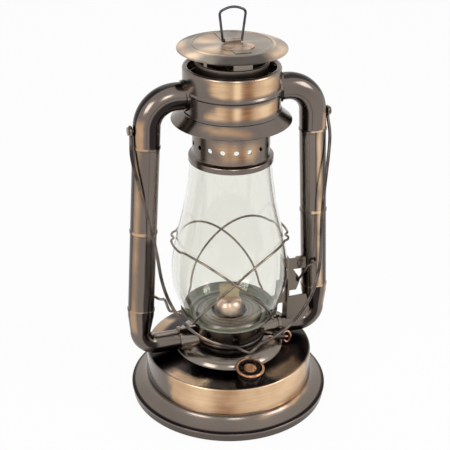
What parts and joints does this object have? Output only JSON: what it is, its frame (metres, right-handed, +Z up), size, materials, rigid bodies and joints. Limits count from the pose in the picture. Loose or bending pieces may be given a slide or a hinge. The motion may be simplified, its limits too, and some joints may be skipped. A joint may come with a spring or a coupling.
{
  "type": "hurricane lantern",
  "caption": "Hurricane lantern with a round fuel base, side air tubes, a glass globe that a lever lifts, a sprung hood, a wick raiser, a screw fuel cap and a swinging bail.",
  "frame": {"origin": "floor level at the centre of the round base", "axes": "+Z up along the globe's axis, +X towards the side tube with the lift lever, -Y towards the side with the fuel cap"},
  "size_m": [0.1982, 0.19, 0.3817],
  "materials": {
    "antique_copper": "dark antique plating, polished, with brushed copper relief",
    "burner_copper": "copper-coloured, satin",
    "bright_copper": "copper-coloured, polished",
    "dark_wire": "dark plated wire and sheet",
    "blued_steel": "dark blue-grey steel",
    "plain_steel": "plain sheet",
    "clear_glass": "clear, faintly green",
    "wick_cotton": "woven cotton",
    "gasket_rubber": "matt"
  },
  "bodies": {
    "frame": {"base_skirt": "antique_copper", "tank_shell": "antique_copper", "tank_bottom": "plain_steel", "filler_neck": "antique_copper", "burner_socket": "burner_copper", "air_chamber": "antique_copper", "burner_collar": "antique_copper", "burner_body": "burner_copper", "wick_tube": "burner_copper", "draft_plate": "plain_steel", "burner_cone": "burner_copper", "raiser_bush": "antique_copper", "left_lower_elbow": "antique_copper", "right_lower_elbow": "antique_copper", "left_lower_tube": "antique_copper", "right_lower_tube": "antique_copper", "left_upper_tube": "antique_copper", "right_upper_tube": "antique_copper", "left_upper_elbow": "antique_copper", "right_upper_elbow": "antique_copper", "port_collars": "antique_copper", "inlet_collars": "antique_copper", "chimney_drum": "antique_copper", "canopy_flange": "antique_copper", "left_stud": "dark_wire", "right_stud": "dark_wire", "lift_guide": "dark_wire", "lift_gusset": "dark_wire", "lift_lug": "dark_wire", "lift_rivet": "dark_wire"},
    "globe_carriage": {"globe_plate": "antique_copper", "globe": "clear_glass", "guard_wire_left": "dark_wire", "guard_wire_right": "dark_wire", "guide_wire": "dark_wire", "lift_slider": "dark_wire"},
    "lift_lever": {"lift_lever": "dark_wire"},
    "hood": {"globe_holder": "antique_copper", "hood_neck": "antique_copper", "spring_seat": "plain_steel", "hood_spring": "plain_steel", "inner_chimney": "plain_steel", "hood_cap": "antique_copper", "cap_bridge": "blued_steel"},
    "lift_ring": {"lift_ring": "blued_steel"},
    "bail": {"bail": "dark_wire"},
    "wick_raiser": {"raiser_rod": "bright_copper", "spur_wheel": "burner_copper", "thumb_loop": "bright_copper"},
    "wick": {"wick": "wick_cotton"},
    "cap_gasket": {"cap_gasket": "gasket_rubber"},
    "fuel_cap": {"fuel_cap": "bright_copper"}
  },
  "joints": [
    {"name": "globe_lift", "type": "slide", "parent": "frame", "child": "globe_carriage", "axis": [0, 0, 1], "range_m": [0, 0.014], "deforming": ["hood_spring"]},
    {"name": "lever_press", "type": "hinge", "parent": "frame", "child": "lift_lever", "pos_m": [0.0665, 0, 0.11001], "axis": [0, 1, 0], "range_deg": [0, 71.4]},
    {"name": "hood_lift", "type": "slide", "parent": "globe_carriage", "child": "hood", "axis": [0, 0, 1], "range_m": [0, 0.014], "deforming": ["hood_spring"]},
    {"name": "ring_fold", "type": "hinge", "parent": "hood", "child": "lift_ring", "pos_m": [0, 0, 0.35161], "axis": [1, 0, 0], "range_deg": [-85, 85]},
    {"name": "bail_swing", "type": "hinge", "parent": "frame", "child": "bail", "pos_m": [0, 0, 0.27856], "axis": [-1, 0, 0], "range_deg": [0, 326.4]},
    {"name": "raiser_turn", "type": "hinge", "parent": "frame", "child": "wick_raiser", "pos_m": [-0.00156, -0.00512, 0.05776], "axis": [0.9563, -0.2924, 0], "range_deg": [-20, 100]},
    {"name": "wick_rise", "type": "slide", "parent": "frame", "child": "wick", "axis": [0, 0, 1], "range_m": [-0.0015, 0.0071]},
    {"name": "cap_rise", "type": "slide", "parent": "frame", "child": "cap_gasket", "axis": [0, -0.1392, 0.9903], "range_m": [0, 0.0061]},
    {"name": "cap_turn", "type": "hinge", "parent": "cap_gasket", "child": "fuel_cap", "pos_m": [0, -0.0635, 0.04869], "axis": [0, -0.1392, 0.9903], "range_deg": [0, 720]}
  ],
  "couplings": [
    {"joint": "lever_press", "follows": "globe_lift", "rad_per_m": 88.975},
    {"joint": "wick_rise", "follows": "raiser_turn", "m_per_rad": 0.004},
    {"joint": "cap_rise", "follows": "cap_turn", "m_per_rad": 0.00047746}
  ]
}
